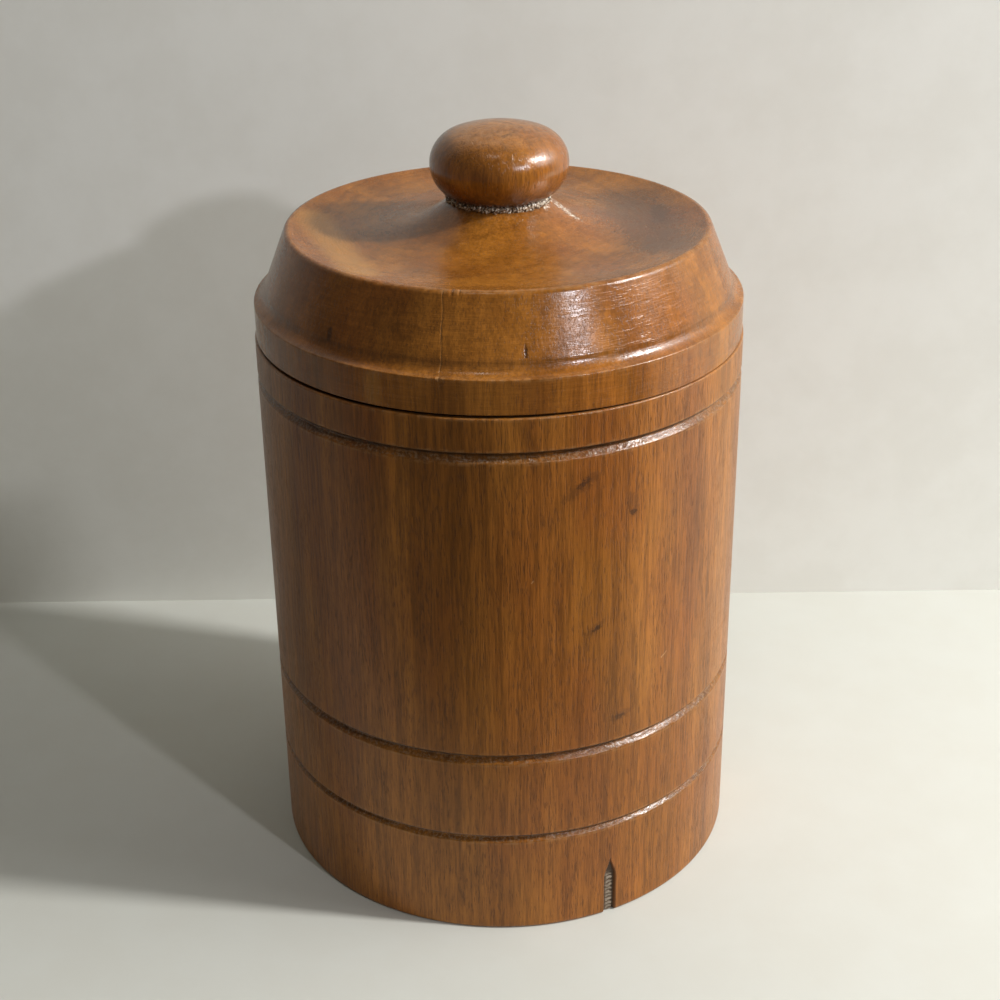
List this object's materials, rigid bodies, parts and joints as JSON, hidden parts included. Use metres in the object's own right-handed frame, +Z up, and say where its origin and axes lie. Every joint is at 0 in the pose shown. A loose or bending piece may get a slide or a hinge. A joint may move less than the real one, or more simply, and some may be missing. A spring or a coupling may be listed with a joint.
{
  "type": "lidded wooden cup",
  "caption": "Turned wooden cup with straight sides, three cut lines, a push-fit lid with a cove and a dished top, and a bun knob.",
  "frame": {"origin": "centre of the underside, on the surface that the cup stands on", "axes": "+Z up along the turning axis, front towards -Y"},
  "size_m": [0.1, 0.1, 0.158],
  "materials": {
    "cup_wood": "upright grain, oiled, soft sheen",
    "lid_wood": "end grain on top, oiled, soft sheen",
    "knob_wood": "upright grain, polished by handling"
  },
  "bodies": {
    "cup": {"cup": "cup_wood"},
    "lid": {"lid": "lid_wood", "knob": "knob_wood"}
  },
  "joints": [
    {"name": "lid_lift", "type": "slide", "parent": "cup", "child": "lid", "axis": [0, 0, 1], "range_m": [0, 0.06]}
  ]
}
